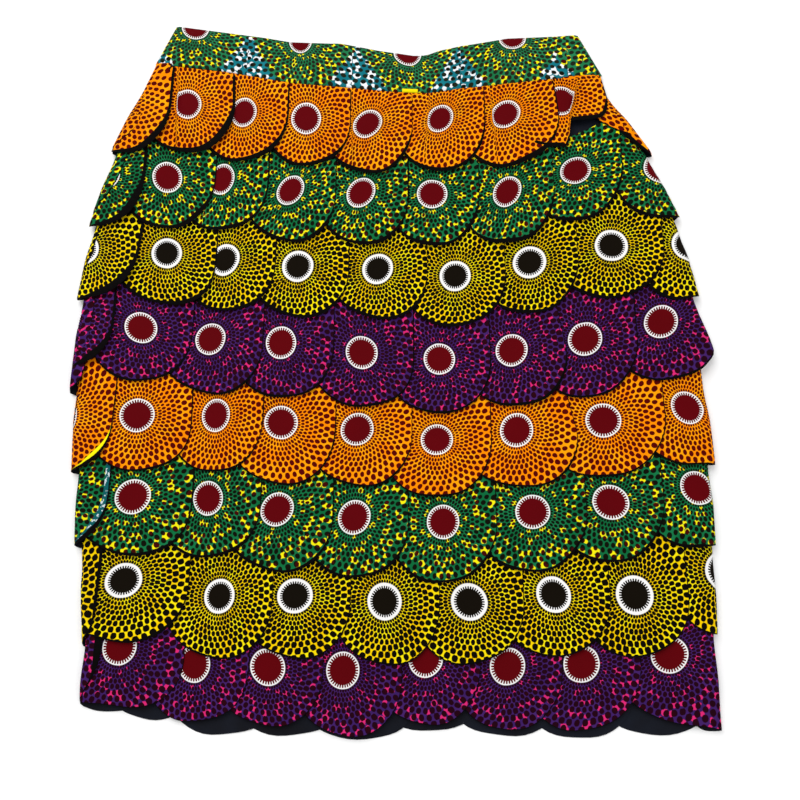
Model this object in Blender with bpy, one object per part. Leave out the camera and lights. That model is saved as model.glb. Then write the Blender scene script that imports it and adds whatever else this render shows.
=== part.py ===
"""A printed cotton pencil skirt, lying flat on its back panel with the waist towards +Y.

Two foundation panels and a waistband carry eight tiers of overlapping round-ended petals.
The outer face of the front panel looks up, and the back tiers rest on the surface.
"""

import math

import bmesh
import bpy

# All sizes below are in millimetres, and points become metres as they are placed
MM = 0.001

# Cloth and the way the layers lie on each other
WALL = 1.2
SEAM_GAP = 0.3
BAND_WALL = 2.4
PETAL_STEP = 1.0
OVERLAP = 24.0
OVERLAP_MARGIN = 4.0
LIFT_MARGIN = 8.0
SIDE_ROUND = 8.0
SIDE_ANGLES = (0.0, 38.0)
SIDE_TUCK = 4.0
SIDE_TOP = {"left": -221.0, "right": 197.0}

# Heights of the layers above the surface that the skirt lies on
BACK_TIER_LOW = 0.0
BACK_TIER_HIGH = BACK_TIER_LOW + WALL + SEAM_GAP
BACK_BASE = BACK_TIER_HIGH + WALL + SEAM_GAP
SIDE_SEAM = BACK_BASE + WALL + SEAM_GAP / 2
FRONT_BASE = SIDE_SEAM + SEAM_GAP / 2
FRONT_TIER_LOW = FRONT_BASE + WALL + SEAM_GAP
FRONT_LIFT = WALL + PETAL_STEP + SEAM_GAP
HEM_DROP = 3.4

# The low middle of every tier, and how far from it the rises below are measured
DIP_X = 32.0
DIP_REACH = 240.0
DIP_SOFT = 26.0

# Curved edges of the waistband: height at the dip, rise on the left and on the right
BAND_TOP = {"level": 276.0, "left_rise": 33.0, "right_rise": 30.0}
BAND_FOOT = {"level": 236.0, "left_rise": 29.0, "right_rise": 24.0}
BAND_ENDS = {"top": (-203.0, 170.0), "foot": (-219.0, 187.0)}
BAND_SPANS = 12
BACK_BAND_SHORTER = 2.0

# Foundation panels
BASE_HEM = -266.0
BASE_ROWS = 9
BASE_SPANS = 12
BASE_TOP_GAP = 0.9
BASE_TUCK = 13.0

# Parts that a petal's width is divided into
SPANS_FRONT = 5
SPANS_BACK = 4


# One row for each tier, from the waist down. level is the height of the petal centres at the dip,
# half_width and drop are the petal's round end, left and right are the corners where the tier's
# lowest points meet the skirt's sides, and first and pitches place the front's petals in a row.
TIERS = (
    {"colour": "orange", "level": 204.0, "left_rise": 15.0, "right_rise": 24.0,
     "half_width": 39.0, "drop": 46.0, "left": -252.0, "right": 228.0,
     "first": -240.0, "pitches": (54, 50, 58, 54, 65, 60, 46, 60)},
    {"colour": "green", "level": 132.0, "left_rise": 18.0, "right_rise": 25.0,
     "half_width": 41.0, "drop": 48.0, "left": -264.0, "right": 250.0,
     "first": -254.0, "pitches": (56, 47, 60, 63, 62, 64, 62, 69)},
    {"colour": "yellow", "level": 56.0, "left_rise": 21.0, "right_rise": 30.0,
     "half_width": 42.0, "drop": 45.0, "left": -268.0, "right": 258.0,
     "first": -260.0, "pitches": (65, 53, 61, 68, 65, 63, 70, 62)},
    {"colour": "purple", "level": -18.0, "left_rise": 26.0, "right_rise": 32.0,
     "half_width": 43.0, "drop": 43.0, "left": -266.0, "right": 264.0,
     "first": -280.0, "pitches": (69, 59, 59, 66, 64, 60, 62, 64)},
    {"colour": "orange", "level": -85.0, "left_rise": 20.0, "right_rise": 28.0,
     "half_width": 44.0, "drop": 44.0, "left": -258.0, "right": 256.0,
     "first": -258.0, "pitches": (50, 63, 54, 62, 63, 64, 72, 67)},
    {"colour": "green", "level": -151.0, "left_rise": 19.0, "right_rise": 27.0,
     "half_width": 43.0, "drop": 40.0, "left": -249.0, "right": 252.0,
     "first": -268.0, "pitches": (62, 59, 56, 60, 69, 71, 62, 68)},
    {"colour": "yellow", "level": -213.0, "left_rise": 14.0, "right_rise": 20.0,
     "half_width": 42.0, "drop": 45.0, "left": -236.0, "right": 245.0,
     "first": -209.0, "pitches": (75, 59, 69, 64, 66, 61, 61)},
    {"colour": "purple", "level": -262.0, "left_rise": 13.0, "right_rise": 11.0,
     "half_width": 40.0, "drop": 39.0, "left": -234.0, "right": 243.0,
     "first": -206.0, "pitches": (57, 55, 59, 60, 61, 55, 66)},
)

# Upright folds of the first tier: the petal pinched beside its disc, and the one folded double.
# share is the fold's place across the petal, half its half width, and the heights run down it.
FOLDS = (
    {"tier": 0, "petal": 1, "share": 0.32, "half": 0.09, "heights": (1.6, 2.4, 1.6, 0.4)},
    {"tier": 0, "petal": 7, "share": 0.30, "half": 0.14, "heights": (1.2, 3.2, 4.0, 3.6)},
)
NO_FOLD = (0.0, 0.0, 0.0, 0.0)
FOLD_CLEAR = 0.03

# Rounds of the two searches: a place on a slanted edge, and the crossing of two arcs
EDGE_ROUNDS = 3
CUSP_ROUNDS = 40

# The back's petals: the last tier hangs lower than the front one, the rest are evenly spread
BACK_PETALS = 9
BACK_HEM_LEVEL = -267.0
BACK_HEM_DROP = 42.0
BACK_HEM_FIRST = -184.0
BACK_HEM_PITCHES = (52, 51, 54, 56, 53, 58, 64)

COLOURS = {
    "orange": (0.80, 0.24, 0.01),
    "green": (0.02, 0.22, 0.07),
    "yellow": (0.85, 0.68, 0.01),
    "purple": (0.10, 0.03, 0.16),
    "band": (0.03, 0.26, 0.12),
    "lining": (0.012, 0.016, 0.028),
}


def clear_scene():
    for thing in list(bpy.data.objects):
        bpy.data.objects.remove(thing, do_unlink=True)


def material(name, colour, roughness):
    made = bpy.data.materials.new(name)
    made.use_nodes = True
    shader = made.node_tree.nodes["Principled BSDF"]
    shader.inputs["Base Color"].default_value = (*colour, 1.0)
    shader.inputs["Roughness"].default_value = roughness
    shader.inputs["Metallic"].default_value = 0.0
    return made


def solid(name, faces, finish):
    """A closed mesh from faces given as lists of points, joined where the points meet."""
    mesh = bpy.data.meshes.new(name)
    shape = bmesh.new()
    known = {}

    def corner(point):
        key = tuple(round(c, 5) for c in point)
        if key not in known:
            known[key] = shape.verts.new([c * MM for c in point])
        return known[key]

    for points in faces:
        ring = []
        for point in points:
            vert = corner(point)
            if vert not in ring:
                ring.append(vert)
        if len(ring) > 2:
            shape.faces.new(ring)
    bmesh.ops.triangulate(shape, faces=shape.faces[:])
    bmesh.ops.recalc_face_normals(shape, faces=shape.faces[:])
    shape.to_mesh(mesh)
    shape.free()
    mesh.materials.append(finish)
    made = bpy.data.objects.new(name, mesh)
    bpy.context.collection.objects.link(made)
    return made


def curved(x, edge):
    """Height of a line that dips softly at DIP_X and rises towards both sides."""
    away = x - DIP_X
    rise = edge["left_rise"] if away < 0 else edge["right_rise"]
    softened = math.hypot(away, DIP_SOFT) - DIP_SOFT
    return edge["level"] + rise * softened / (DIP_REACH - DIP_SOFT)


def lowest(x, number):
    """Height of the line through the lowest points of a tier's petals."""
    tier = TIERS[number]
    return curved(x, tier) - tier["drop"]


def seam(x, number):
    """Height of a tier's upper edge: the waistband's foot, or under the tier above."""
    if number == 0:
        return curved(x, BAND_FOOT) - SEAM_GAP
    return lowest(x, number - 1) + OVERLAP


def side(y, number, which):
    """A tier's edge at y: a line to its lower corner, tucked inside the tier above it."""
    inward = SIDE_TUCK if which == "left" else -SIDE_TUCK
    corner = TIERS[number][which]
    if number == 0:
        start, top = SIDE_TOP[which], seam(SIDE_TOP[which], 0)
    else:
        above = TIERS[number - 1][which]
        start, top = above + inward, lowest(above, number - 1)
        if y > top:
            return side(y, number - 1, which) + inward
    foot = lowest(corner, number)
    share = max(0.0, min(1.0, (top - y) / (top - foot)))
    return start + (corner - start) * share


def levels(x, number):
    """Heights of a tier's bends: its seam, the end of the tier above and the next seam."""
    top = seam(x, number)
    if number == len(TIERS) - 1:
        return top, top - OVERLAP - OVERLAP_MARGIN, BASE_HEM - OVERLAP_MARGIN
    return top, top - OVERLAP - OVERLAP_MARGIN, seam(x, number + 1) + LIFT_MARGIN


def petals(first, pitches):
    centres = [first]
    for pitch in pitches:
        centres.append(centres[-1] + pitch)
    return centres


def fold_of(number, petal):
    """The fold that a petal of the front has, if any."""
    for fold in FOLDS:
        if fold["tier"] == number and fold["petal"] == petal:
            return fold
    return None


class Row:
    """The petals of one tier on one panel: their centres, round ends and the skirt's sides."""

    def __init__(self, number, centres, edge, half_width, drop):
        self.number = number
        self.centres = centres
        self.edge = edge
        self.half_width = half_width
        self.drop = drop

    def height(self, index):
        return curved(self.centres[index], self.edge)

    def arc(self, x, index):
        """Height of a petal's round end at x."""
        share = max(-1.0, min(1.0, (x - self.centres[index]) / self.half_width))
        return self.height(index) - self.drop * math.sqrt(1.0 - share * share)

    def cusp(self, index):
        """Where a petal's round end crosses that of the petal on its right."""
        low, high = self.centres[index], self.centres[index + 1]
        for _ in range(CUSP_ROUNDS):
            x = (low + high) / 2
            if self.arc(x, index) < self.arc(x, index + 1):
                low = x
            else:
                high = x
        return low

    def right_edge(self, y, index):
        """A petal's right edge: straight beside its centre, then round to the cusp."""
        below = max(0.0, self.height(index) - y)
        share = min(1.0, below / self.drop)
        return self.centres[index] + self.half_width * math.sqrt(1.0 - share * share)

    def edges(self, y, index):
        """The left and right limits of a petal's part that shows, at y."""
        first, last = index == 0, index == len(self.centres) - 1
        if first:
            left = side(y, self.number, "left") + SIDE_ROUND
        else:
            left = self.right_edge(y, index - 1)
        if last:
            right = side(y, self.number, "right") - SIDE_ROUND
        else:
            right = self.right_edge(y, index)
        return left, right

    def columns(self, spans, folded=False):
        """Columns of points across the tier, with the share of each petal's width."""
        found = []
        last = len(self.centres) - 1
        for index in range(last + 1):
            side_left = index == 0
            side_right = index == last
            steps = [n / spans for n in range(spans + 1)]
            fold = fold_of(self.number, index) if folded else None
            if fold:
                flanks = fold["share"] - fold["half"], fold["share"] + fold["half"]
                steps = [s for s in steps if not flanks[0] - FOLD_CLEAR < s < flanks[1] + FOLD_CLEAR]
                steps = sorted(steps + [*flanks, fold["share"]])
            tier = TIERS[self.number]
            start = tier["left"] + SIDE_ROUND if side_left else self.cusp(index - 1)
            end = tier["right"] - SIDE_ROUND if side_right else self.cusp(index)
            for step in steps if side_left else steps[1:]:
                foot_x = start + (end - start) * step
                points = []
                for level in range(len(levels(foot_x, self.number))):
                    x = foot_x
                    for _ in range(EDGE_ROUNDS):
                        y = levels(x, self.number)[level]
                        left, right = self.edges(y, index)
                        x = left + (right - left) * step
                    points.append((x, y))
                points.append((foot_x, self.arc(foot_x, index)))
                stepped = step == 1.0 and not side_right
                ridge = fold["heights"] if fold and step == fold["share"] else NO_FOLD
                found.append({"points": points, "share": step, "stepped": stepped,
                              "ridge": ridge})
        return with_side_columns(found, self)


def with_side_columns(columns, row):
    """Adds the columns that round the tier over the skirt's sides."""
    done = []
    for which, inward, outermost in (("left", 1.0, columns[0]), ("right", -1.0, columns[-1])):
        index = 0 if which == "left" else len(row.centres) - 1
        corner = TIERS[row.number][which]
        extra = []
        for angle in SIDE_ANGLES:
            offset = inward * SIDE_ROUND * (1.0 - math.cos(math.radians(angle)))
            points = []
            for level in range(len(outermost["points"]) - 1):
                x = corner + offset
                for _ in range(EDGE_ROUNDS):
                    y = levels(x, row.number)[level]
                    x = side(y, row.number, which) + offset
                points.append((x, y))
            points.append((corner + offset, row.arc(corner + offset, index)))
            extra.append({"points": points, "share": outermost["share"], "stepped": False,
                          "angle": angle, "inward": inward})
        done.append(extra)
    return done[0] + columns + done[1][::-1]


def layers(column, upper, relief, lift, up):
    """Outer and inner points of a column. up is 1 on the front and -1 on the back."""
    outer_high, outer_low, inner = [], [], []
    angle = math.radians(column.get("angle", 90.0))
    inward = column.get("inward", 0.0)
    for place, (x, y) in enumerate(column["points"]):
        base = upper + up * lift[place]
        flat_out = base + up * WALL
        ridge = column.get("ridge", NO_FOLD)[place]
        rise_high = relief * column["share"] + ridge
        rise_low = 0.0 if column["stepped"] else rise_high
        seam_height = SIDE_SEAM + up * SEAM_GAP / 2
        reach = math.sin(angle)
        tuck = WALL * math.cos(angle) * inward
        outer_high.append((x, y, seam_height + (flat_out + up * rise_high - seam_height) * reach))
        outer_low.append((x, y, seam_height + (flat_out + up * rise_low - seam_height) * reach))
        inner.append((x + tuck, y, seam_height + (base - seam_height) * reach))
    return outer_high, outer_low, inner


def tier_faces(columns, upper, relief, lift, up):
    """Faces of one tier: outer skin, inner skin, the steps between petals and the edges."""
    stacks = [layers(column, upper, relief, lift, up) for column in columns]
    rows = len(columns[0]["points"])
    faces = []
    for here, there, there_column in zip(stacks, stacks[1:], columns[1:]):
        start, end = here[1], there[0]
        stepped = there_column["stepped"] and relief > 0
        for r in range(rows - 1):
            faces.append([start[r], end[r], end[r + 1], start[r + 1]])
            faces.append([here[2][r], there[2][r], there[2][r + 1], here[2][r + 1]])
        for r in (0, rows - 1):
            rim = [start[r], end[r]]
            if stepped:
                rim.append(there[1][r])
            faces.append(rim + [there[2][r], here[2][r]])
        if stepped:
            for r in range(rows - 1):
                faces.append([there[0][r], there[0][r + 1], there[1][r + 1], there[1][r]])
    for stack in (stacks[0], stacks[-1]):
        for r in range(rows - 1):
            faces.append([stack[0][r], stack[0][r + 1], stack[2][r + 1], stack[2][r]])
    return faces


def front_tier(number, finish):
    tier = TIERS[number]
    row = Row(number, petals(tier["first"], tier["pitches"]), tier, tier["half_width"], tier["drop"])
    last = number == len(TIERS) - 1
    columns = row.columns(SPANS_FRONT, folded=True)
    lift = (0.0, 0.0, 0.0, -HEM_DROP) if last else (0.0, 0.0, FRONT_LIFT, FRONT_LIFT)
    faces = tier_faces(columns, FRONT_TIER_LOW, PETAL_STEP, lift, 1.0)
    solid(f"tier_{number + 1}_front", faces, finish)


def back_tier(number, finish):
    tier = TIERS[number]
    last = number == len(TIERS) - 1
    if last:
        centres = petals(BACK_HEM_FIRST, BACK_HEM_PITCHES)
        edge = dict(tier, level=BACK_HEM_LEVEL)
        row = Row(number, centres, edge, tier["half_width"], BACK_HEM_DROP)
    else:
        pitch = (tier["right"] - tier["left"]) / BACK_PETALS
        centres = [tier["left"] + pitch * (n + 0.5) for n in range(BACK_PETALS)]
        row = Row(number, centres, tier, tier["half_width"], tier["drop"])
    columns = row.columns(SPANS_BACK)
    fall = BACK_TIER_HIGH - BACK_TIER_LOW
    lift = (0.0, 0.0, fall, fall)
    faces = tier_faces(columns, BACK_TIER_HIGH + WALL, 0.0, lift, -1.0)
    solid(f"tier_{number + 1}_back", faces, finish)


def plate(name, outline_rows, finish):
    """A closed sheet from rows of paired lower and upper points."""
    faces = []
    for near, far in zip(outline_rows, outline_rows[1:]):
        for n in range(len(near) - 1):
            for layer in (0, 1):
                faces.append([near[n][layer], near[n + 1][layer], far[n + 1][layer], far[n][layer]])
    for row in (outline_rows[0], outline_rows[-1]):
        for here, there in zip(row, row[1:]):
            faces.append([here[0], there[0], there[1], here[1]])
    for n in (0, -1):
        for near, far in zip(outline_rows, outline_rows[1:]):
            faces.append([near[n][0], far[n][0], far[n][1], near[n][1]])
    solid(name, faces, finish)


def side_of_base(y, which):
    """The foundation's edge at y: inside the tiers that lie over it."""
    inward = BASE_TUCK if which == "left" else -BASE_TUCK
    for number, tier in enumerate(TIERS):
        if y >= lowest(tier[which], number):
            break
    return side(y, number, which) + inward


def foundation(name, from_share, to_share, height, finish):
    """A foundation panel between two shares of the skirt's width."""
    rows = []
    for r in range(BASE_ROWS + 1):
        row = []
        for c in range(BASE_SPANS + 1):
            across = from_share + (to_share - from_share) * c / BASE_SPANS
            top_left, top_right = SIDE_TOP["left"] + BASE_TUCK, SIDE_TOP["right"] - BASE_TUCK
            top_x = top_left + (top_right - top_left) * across
            top = curved(top_x, BAND_FOOT) - BASE_TOP_GAP
            y = top + (BASE_HEM - top) * r / BASE_ROWS
            left = side_of_base(y, "left")
            right = side_of_base(y, "right")
            inset = SEAM_GAP / 2 if c == BASE_SPANS and to_share < 1 else 0.0
            inset = -SEAM_GAP / 2 if c == 0 and from_share > 0 else inset
            x = left + (right - left) * across - inset
            row.append(((x, y, height), (x, y, height + WALL)))
        rows.append(row)
    plate(name, rows, finish)


def waistband(name, from_share, to_share, low_foot, low_top, shorter, finish):
    """A waistband piece whose lower and upper faces lean from the foot to the top edge."""
    rows = []
    for r in range(3):
        up = r / 2
        row = []
        for c in range(BAND_SPANS + 1):
            across = from_share + (to_share - from_share) * c / BAND_SPANS
            foot_x = BAND_ENDS["foot"][0] + (BAND_ENDS["foot"][1] - BAND_ENDS["foot"][0]) * across
            top_x = BAND_ENDS["top"][0] + (BAND_ENDS["top"][1] - BAND_ENDS["top"][0]) * across
            x = foot_x + (top_x - foot_x) * up
            inset = SEAM_GAP / 2 if c == BAND_SPANS and to_share < 1 else 0.0
            inset = -SEAM_GAP / 2 if c == 0 and from_share > 0 else inset
            foot_y = curved(foot_x, BAND_FOOT)
            top_y = curved(top_x, BAND_TOP) - shorter
            y = foot_y + (top_y - foot_y) * up
            low = low_foot + (low_top - low_foot) * up
            row.append(((x - inset, y, low), (x - inset, y, low + BAND_WALL)))
        rows.append(row)
    plate(name, rows, finish)


def build():
    clear_scene()
    finishes = {name: material(name, colour, 0.8) for name, colour in COLOURS.items()}
    waistband("waistband_front", 0.0, 1.0, FRONT_BASE, BAND_WALL + SEAM_GAP, 0.0, finishes["band"])
    back_foot = BACK_BASE + WALL - BAND_WALL
    waistband("waistband_back_left", 0.0, 0.5, back_foot, 0.0, BACK_BAND_SHORTER, finishes["band"])
    waistband("waistband_back_right", 0.5, 1.0, back_foot, 0.0, BACK_BAND_SHORTER, finishes["band"])
    foundation("base_front", 0.0, 1.0, FRONT_BASE, finishes["lining"])
    foundation("base_back_left", 0.0, 0.5, BACK_BASE, finishes["lining"])
    foundation("base_back_right", 0.5, 1.0, BACK_BASE, finishes["lining"])
    for number, tier in enumerate(TIERS):
        front_tier(number, finishes[tier["colour"]])
        back_tier(number, finishes[tier["colour"]])


build()
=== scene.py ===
"""A printed cotton skirt with eight tiers of overlapping petals, lying flat on its back panel.

The camera and the table come first, then the foundation, the waistband and the tiers of petals,
in the order in which such a skirt is put together. Sizes are in millimetres unless named so.
"""

import math
import random

import bpy
import numpy as np
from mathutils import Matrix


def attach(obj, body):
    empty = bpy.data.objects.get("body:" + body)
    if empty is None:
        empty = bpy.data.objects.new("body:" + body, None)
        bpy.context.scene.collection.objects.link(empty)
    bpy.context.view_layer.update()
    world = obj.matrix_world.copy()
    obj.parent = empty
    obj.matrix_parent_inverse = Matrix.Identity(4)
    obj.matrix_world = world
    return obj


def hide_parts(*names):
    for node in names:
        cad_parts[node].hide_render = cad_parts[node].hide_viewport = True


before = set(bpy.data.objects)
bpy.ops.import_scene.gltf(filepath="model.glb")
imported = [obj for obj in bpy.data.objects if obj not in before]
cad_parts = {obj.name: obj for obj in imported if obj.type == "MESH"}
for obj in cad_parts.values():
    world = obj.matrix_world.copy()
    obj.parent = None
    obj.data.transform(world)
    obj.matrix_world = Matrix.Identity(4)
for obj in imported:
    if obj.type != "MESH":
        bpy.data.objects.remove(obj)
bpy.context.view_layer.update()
MM = 0.001

# Camera: it looks down at the table, tilted a little from the hem side towards the waist.
CAMERA_AIM = (5, -53, 9)
CAMERA_DISTANCE = 700
CAMERA_TILT = math.radians(15.2)
CAMERA_LENS = 38.7

aim_x, aim_y, aim_z = CAMERA_AIM
camera_at = (aim_x * MM, (aim_y - CAMERA_DISTANCE * math.sin(CAMERA_TILT)) * MM,
             (aim_z + CAMERA_DISTANCE * math.cos(CAMERA_TILT)) * MM)
bpy.ops.object.select_all(action="DESELECT")
bpy.ops.object.camera_add(location=camera_at, rotation=(CAMERA_TILT, 0.0, 0.0))
camera = bpy.context.object
camera.data.lens = CAMERA_LENS
camera.data.sensor_width = 36.0
camera.data.clip_start = 0.01
bpy.context.scene.camera = camera

# Table and light: a plain pale surface under a wide soft lamp, with the room's light all round.
TABLE_SIZE = 4
TABLE_COLOUR = (0.90, 0.90, 0.90, 1.0)
ROOM_LIGHT = 0.75
# Name, place, size in metres and power
LAMPS = (("key", (-0.55, 0.75, 1.5), 1.3, 18.0), ("fill", (0.9, -0.6, 1.4), 1.6, 5.0))

bpy.ops.mesh.primitive_plane_add(size=TABLE_SIZE, location=(0.0, 0.0, 0.0))
table = bpy.context.object
table.name = "table"
paint = bpy.data.materials.new("table_white")
paint.use_nodes = True
paint_shader = paint.node_tree.nodes["Principled BSDF"].inputs
paint_shader["Base Color"].default_value = TABLE_COLOUR
paint_shader["Roughness"].default_value = 0.9
table.data.materials.append(paint)

for name, (x, y, z), size, watts in LAMPS:
    bpy.ops.object.light_add(type="AREA", location=(x, y, z))
    lamp = bpy.context.object
    lamp.name, lamp.data.size, lamp.data.energy = name, size, watts
    lamp.rotation_euler = (0.0, math.atan2(math.hypot(x, y), z), math.atan2(y, x))

world = bpy.data.worlds.new("room")
world.use_nodes = True
room = world.node_tree.nodes["Background"].inputs
room["Color"].default_value = (1.0, 1.0, 1.0, 1.0)
room["Strength"].default_value = ROOM_LIGHT
bpy.context.scene.world = world
bpy.context.scene.view_settings.view_transform = "Standard"

# Foundation: a front and a back panel of dark cotton, sewn at the sides, that carry the tiers.
# It is cut a little narrower than the tiers, and only its hem edge can be seen.
# Every line across the skirt dips softly at DIP_X, where it has its level, and rises to both
# sides by what it has gained at DIP_REACH. more is what a line lies higher at given places.
DIP_X = 32
DIP_REACH = 240
DIP_SOFT = 26
BAND_FOOT = {"level": 236, "left_rise": 29, "right_rise": 24,
             "more": ((-150, 0), (-95, -3.5), (-40, -1.5), (0, -1), (30, 0), (60, 3), (104, 4),
                      (150, 4.5), (170, 5), (190, 3.5))}
# Heights off the table: where the two panels are sewn together, and each panel's inner face
SIDE_SEAM = 4.35
FOUNDATION_FRONT = 4.75
FOUNDATION_BACK = 3.35
FOUNDATION_CLOTH = 0.6
FOUNDATION_UNDER_BAND = 1
FOUNDATION_HEM = -266
# The panels' cut, from the waist down: y, and x at the left and at the right side
FOUNDATION_SIDES = ((258, -208, 182), (234, -215, 185), (210, -222, 198), (150, -237, 220),
                    (80, -248, 234), (0, -251, 245), (-80, -246, 248), (-160, -238, 243),
                    (-266, -224, 232))
FOUNDATION_ROWS = 60
FOUNDATION_COLUMNS = 72
FOUNDATION_ROUND = 5
DARK_COTTON = (0.004, 0.004, 0.006, 1.0)
DARK_COTTON_LIGHT = (0.007, 0.009, 0.016, 1.0)
# Relief of the cloth: its threads, slubs and soft rumples, and the clouds of its wear
THREAD_PITCH = 0.42
THREAD_SHARE = 0.25
SLUB_SCALE = 900
RUMPLE_SCALE = 55
RUMPLE_SHARE = 2.4
CLOUD_SCALE = 28


class Wiring:
    """Short calls for laying out the nodes of one tree."""

    def __init__(self, tree):
        self.tree = tree

    def feed(self, socket, value):
        if isinstance(value, bpy.types.NodeSocket):
            self.tree.links.new(value, socket)
        else:
            socket.default_value = value

    def node(self, kind, inputs=None, **settings):
        made = self.tree.nodes.new(kind)
        for name, value in settings.items():
            setattr(made, name, value)
        for name, value in (inputs or {}).items():
            self.feed(made.inputs[name], value)
        return made

    def result(self, kind, operation, values):
        made = self.node(kind, operation=operation)
        for socket, value in zip(made.inputs, values):
            self.feed(socket, value)
        return made.outputs

    def __getattr__(self, name):
        """Any other name is one of the Math node's operations, as in w.multiply_add(a, b, c)."""
        return lambda *values: self.result("ShaderNodeMath", name.upper(), values)[0]

    def vector(self, operation, *values):
        outputs = self.result("ShaderNodeVectorMath", operation, values)
        return outputs["Value" if operation == "LENGTH" else "Vector"]

    def parts(self, vector):
        return self.node("ShaderNodeSeparateXYZ", {"Vector": vector}).outputs

    def joined(self, x, y, z=0.0):
        return self.node("ShaderNodeCombineXYZ", {"X": x, "Y": y, "Z": z}).outputs[0]

    def mark(self, name):
        """One of the numbers that a mesh's points keep."""
        return self.node("ShaderNodeAttribute", attribute_name=name).outputs["Fac"]

    def mix(self, share, below, above):
        made = self.node("ShaderNodeMix", data_type="RGBA")
        self.feed(made.inputs[0], share)
        self.feed(made.inputs[6], below)
        self.feed(made.inputs[7], above)
        return made.outputs[2]

    def ramp(self, value, low, high):
        """0 below low, 1 above high and a straight rise between them."""
        made = self.node("ShaderNodeMapRange", {"Value": value, "From Min": low, "From Max": high})
        return made.outputs["Result"]

    def noise(self, place, scale, detail=2.0, output="Fac"):
        made = self.node("ShaderNodeTexNoise", {"Vector": place, "Scale": scale, "Detail": detail})
        return made.outputs[output]


def new_group(name, inputs, outputs):
    """A node group with its inputs and outputs, and the wiring to fill it."""
    tree = bpy.data.node_groups.new(name, "ShaderNodeTree")
    for label, kind, value in inputs:
        socket = tree.interface.new_socket(label, in_out="INPUT", socket_type=f"NodeSocket{kind}")
        if value is not None:
            socket.default_value = value
    for label, kind in outputs:
        tree.interface.new_socket(label, in_out="OUTPUT", socket_type=f"NodeSocket{kind}")
    w = Wiring(tree)
    given = w.node("NodeGroupInput").outputs
    return tree, w, given, w.node("NodeGroupOutput").inputs


def weave_group():
    """Cotton threads over and under, with soft unevenness of the cloth, as one height."""
    tree, w, given, out = new_group(
        "cotton_weave",
        [("Place", "Vector", None), ("Pitch", "Float", THREAD_PITCH * MM)],
        [("Height", "Float"), ("Cloud", "Float")],
    )
    turns = w.divide(2.0 * math.pi, given["Pitch"])
    parts = w.parts(given["Place"])
    threads = w.multiply(*(w.sine(w.multiply(parts[axis], turns)) for axis in "XY"))
    slubs = w.noise(given["Place"], SLUB_SCALE, 3.0)
    rumple = w.noise(given["Place"], RUMPLE_SCALE, 3.0)
    fine = w.multiply_add(threads, THREAD_SHARE, slubs)
    w.feed(out["Height"], w.multiply_add(rumple, RUMPLE_SHARE, fine))
    w.feed(out["Cloud"], w.noise(given["Place"], CLOUD_SCALE, 4.0))
    return tree


weave = weave_group()


def new_material(name):
    made = bpy.data.materials.new(name)
    made.use_nodes = True
    return made, Wiring(made.node_tree)


def cotton(w, worn, colour, clouds, rough, grain, bump, gloss):
    """Wires up a cotton: clouds of wear in its colour, the weave's relief, and its gloss."""
    place = w.node("ShaderNodeTexCoord").outputs["Object"]
    cloth = w.node("ShaderNodeGroup", {"Place": place}, node_tree=weave).outputs
    relief = w.node("ShaderNodeBump", {"Strength": bump[0], "Distance": bump[1]})
    w.feed(relief.inputs["Height"], cloth["Height"])
    shader = w.tree.nodes["Principled BSDF"].inputs
    w.feed(shader["Base Color"], w.mix(w.ramp(cloth["Cloud"], *clouds), worn, colour))
    w.feed(shader["Roughness"], w.multiply_add(cloth["Height"], grain, rough))
    w.feed(shader["Normal"], relief.outputs["Normal"])
    shader["Specular IOR Level"].default_value = gloss


dark_cotton, w = new_material("dark_cotton")
cotton(w, DARK_COTTON, DARK_COTTON_LIGHT, clouds=(0.35, 0.7), rough=0.52, grain=0.05,
       bump=(0.35, 0.0002), gloss=0.06)


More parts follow.
